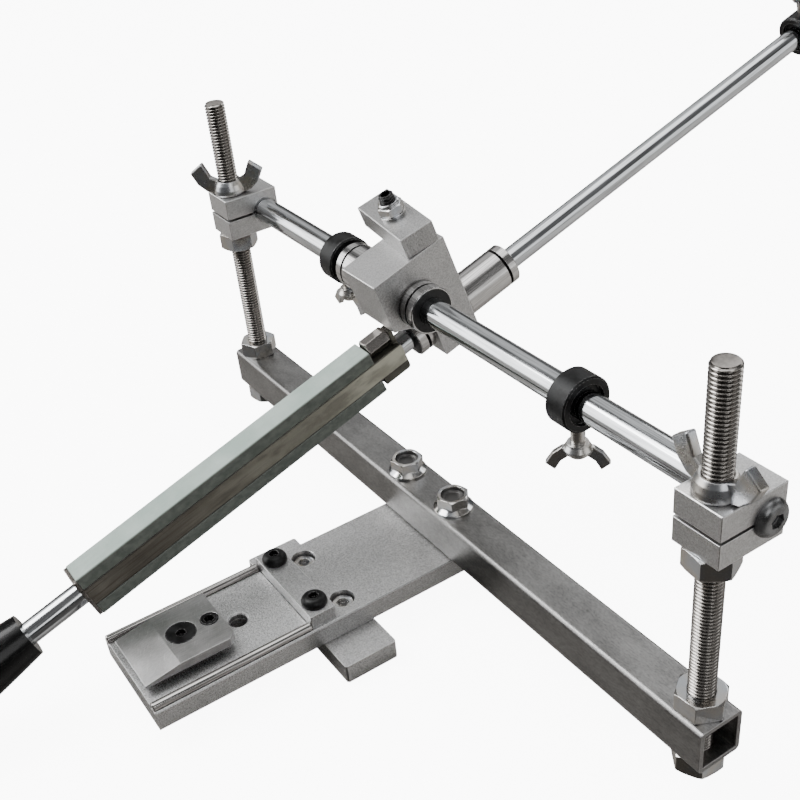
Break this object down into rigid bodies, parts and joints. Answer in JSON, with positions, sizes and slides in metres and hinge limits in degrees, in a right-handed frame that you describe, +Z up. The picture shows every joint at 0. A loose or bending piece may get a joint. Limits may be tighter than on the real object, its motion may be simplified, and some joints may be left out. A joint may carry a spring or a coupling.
{
  "type": "honing guide",
  "caption": "Guided-rod honing rig: a jaw holds the knife, and a stone holder slides on a rod through a pitching carriage on an adjustable cross bar.",
  "frame": {"origin": "centre of the foot bar's underside, on the bench", "axes": "+X along the square tube to the right-hand stud as seen from the knife end, +Y away from the knife end, +Z up"},
  "size_m": [0.3616, 0.5428, 0.206],
  "materials": {
    "tube_steel": "satin brushed",
    "milled_aluminium": "bead blasted, satin",
    "jaw_steel": "ground, satin",
    "polished_steel": "polished",
    "zinc_hardware": "bright zinc",
    "black_oxide": "black oxide, semi-gloss",
    "seal_rubber": "matte",
    "cage_plastic": "matte",
    "holder_bar": "satin",
    "stone_abrasive": "fine grit, matte",
    "dark_steel": "dark, semi-gloss",
    "grip_plastic": "glossy black"
  },
  "bodies": {
    "base": {"foot_bar": "milled_aluminium", "foot_screws": "zinc_hardware", "arm_plate": "milled_aluminium", "base_tube": "tube_steel", "flange_bolts": "zinc_hardware", "stud_left": "zinc_hardware", "stud_right": "zinc_hardware", "base_nuts_upper": "zinc_hardware", "base_nuts_lower": "zinc_hardware", "side_rails": "polished_steel", "jaw_bed_plate": "milled_aluminium", "stop_strip": "milled_aluminium", "strip_screws": "black_oxide"},
    "jaw": {"top_jaw": "jaw_steel"},
    "jaw_screw": {"jaw_clamp_screw": "black_oxide"},
    "jaw_leveller": {"jaw_set_screw": "black_oxide"},
    "bar_frame": {"clamp_block_left": "milled_aluminium", "clamp_block_right": "milled_aluminium", "cross_rod": "polished_steel", "cross_rod_screws": "black_oxide"},
    "nut_left": {"adjusting_nut_left": "zinc_hardware"},
    "nut_right": {"adjusting_nut_right": "zinc_hardware"},
    "wing_left": {"wing_nut_left": "zinc_hardware"},
    "wing_right": {"wing_nut_right": "zinc_hardware"},
    "collar_left": {"stop_collar_left": "black_oxide"},
    "collar_right": {"stop_collar_right": "black_oxide"},
    "collar_screw_left": {"wing_screw_left": "zinc_hardware"},
    "collar_screw_right": {"wing_screw_right": "zinc_hardware"},
    "carriage_slider": {"cross_bushing_cage": "cage_plastic", "cross_bushing_balls": "polished_steel"},
    "carriage": {"carriage_block": "milled_aluminium", "cross_bushing_shell": "polished_steel", "cross_bushing_seals": "seal_rubber", "guide_bushing_shell": "polished_steel", "guide_bushing_seals": "seal_rubber", "swivel_screw": "black_oxide"},
    "swivel": {"swivel_bar": "milled_aluminium"},
    "swivel_fastening": {"swivel_nut": "zinc_hardware", "swivel_washer": "zinc_hardware"},
    "guide_roller": {"guide_bushing_cage": "cage_plastic", "guide_bushing_balls": "polished_steel"},
    "guide": {"guide_rod": "polished_steel", "stone_holder": "holder_bar", "stone_top": "stone_abrasive", "stone_bottom": "stone_abrasive", "holder_end_plate": "dark_steel", "handle_rod": "polished_steel", "handle": "grip_plastic"},
    "stone_clamp": {"stone_clamp_screw": "dark_steel"},
    "collar_far": {"stop_collar_far": "black_oxide"},
    "collar_screw_far": {"wing_screw_far": "zinc_hardware"}
  },
  "joints": [
    {"name": "jaw_lift", "type": "slide", "parent": "base", "child": "jaw", "axis": [0, 0, 1], "range_m": [0, 0.008]},
    {"name": "jaw_screw_turn", "type": "hinge", "parent": "jaw", "child": "jaw_screw", "pos_m": [0, -0.0634, 0.0245], "axis": [0, 0, 1], "continuous": true},
    {"name": "jaw_leveller_turn", "type": "hinge", "parent": "jaw", "child": "jaw_leveller", "pos_m": [0, -0.0504, 0.024], "axis": [0, 0, 1], "continuous": true},
    {"name": "bar_height", "type": "slide", "parent": "base", "child": "bar_frame", "axis": [0, 0, 1], "range_m": [-0.012, 0.028]},
    {"name": "nut_left_turn", "type": "hinge", "parent": "bar_frame", "child": "nut_left", "pos_m": [-0.165, 0.0635, 0.107], "axis": [0, 0, 1], "continuous": true},
    {"name": "nut_right_turn", "type": "hinge", "parent": "bar_frame", "child": "nut_right", "pos_m": [0.165, 0.0635, 0.107], "axis": [0, 0, 1], "continuous": true},
    {"name": "wing_left_turn", "type": "hinge", "parent": "bar_frame", "child": "wing_left", "pos_m": [-0.165, 0.0635, 0.14], "axis": [0, 0, 1], "continuous": true},
    {"name": "wing_right_turn", "type": "hinge", "parent": "bar_frame", "child": "wing_right", "pos_m": [0.165, 0.0635, 0.14], "axis": [0, 0, 1], "continuous": true},
    {"name": "collar_left_slide", "type": "slide", "parent": "bar_frame", "child": "collar_left", "axis": [1, 0, 0], "range_m": [-0.073, 0.0034]},
    {"name": "collar_right_slide", "type": "slide", "parent": "bar_frame", "child": "collar_right", "axis": [1, 0, 0], "range_m": [-0.085, 0.063]},
    {"name": "collar_screw_left_turn", "type": "hinge", "parent": "collar_left", "child": "collar_screw_left", "pos_m": [-0.07625, 0.0767, 0.11], "axis": [0, 0, 1], "continuous": true},
    {"name": "collar_screw_right_turn", "type": "hinge", "parent": "collar_right", "child": "collar_screw_right", "pos_m": [0.086, 0.0767, 0.11], "axis": [0, 0, 1], "continuous": true},
    {"name": "carriage_slide", "type": "slide", "parent": "bar_frame", "child": "carriage_slider", "axis": [1, 0, 0], "range_m": [-0.0033, 0.085]},
    {"name": "carriage_pitch", "type": "hinge", "parent": "carriage_slider", "child": "carriage", "pos_m": [-0.028, 0.0767, 0.122], "axis": [1, 0, 0], "range_deg": [-35, 2]},
    {"name": "swivel_turn", "type": "hinge", "parent": "carriage", "child": "swivel", "pos_m": [-0.036, 0.08226, 0.15055], "axis": [0, -0.3049, 0.9524], "continuous": true},
    {"name": "swivel_nut_turn", "type": "hinge", "parent": "carriage", "child": "swivel_fastening", "pos_m": [-0.036, 0.07967, 0.15865], "axis": [0, -0.3049, 0.9524], "continuous": true},
    {"name": "guide_roll", "type": "hinge", "parent": "carriage", "child": "guide_roller", "pos_m": [-0.028, 0.1023, 0.10762], "axis": [0, 0.9524, 0.3049], "continuous": true},
    {"name": "guide_stroke", "type": "slide", "parent": "guide_roller", "child": "guide", "axis": [0, 0.9524, 0.3049], "range_m": [-0.19, 0.0065]},
    {"name": "stone_clamp_travel", "type": "slide", "parent": "guide", "child": "stone_clamp", "axis": [0, -0.9524, -0.3049], "range_m": [-0.0005, 0.0004]},
    {"name": "collar_far_slide", "type": "slide", "parent": "guide", "child": "collar_far", "axis": [0, 0.9524, 0.3049], "range_m": [-0.18, 0.01]},
    {"name": "collar_screw_far_turn", "type": "hinge", "parent": "collar_far", "child": "collar_screw_far", "pos_m": [-0.028, 0.31865, 0.18947], "axis": [0, -0.3049, 0.9524], "continuous": true}
  ]
}
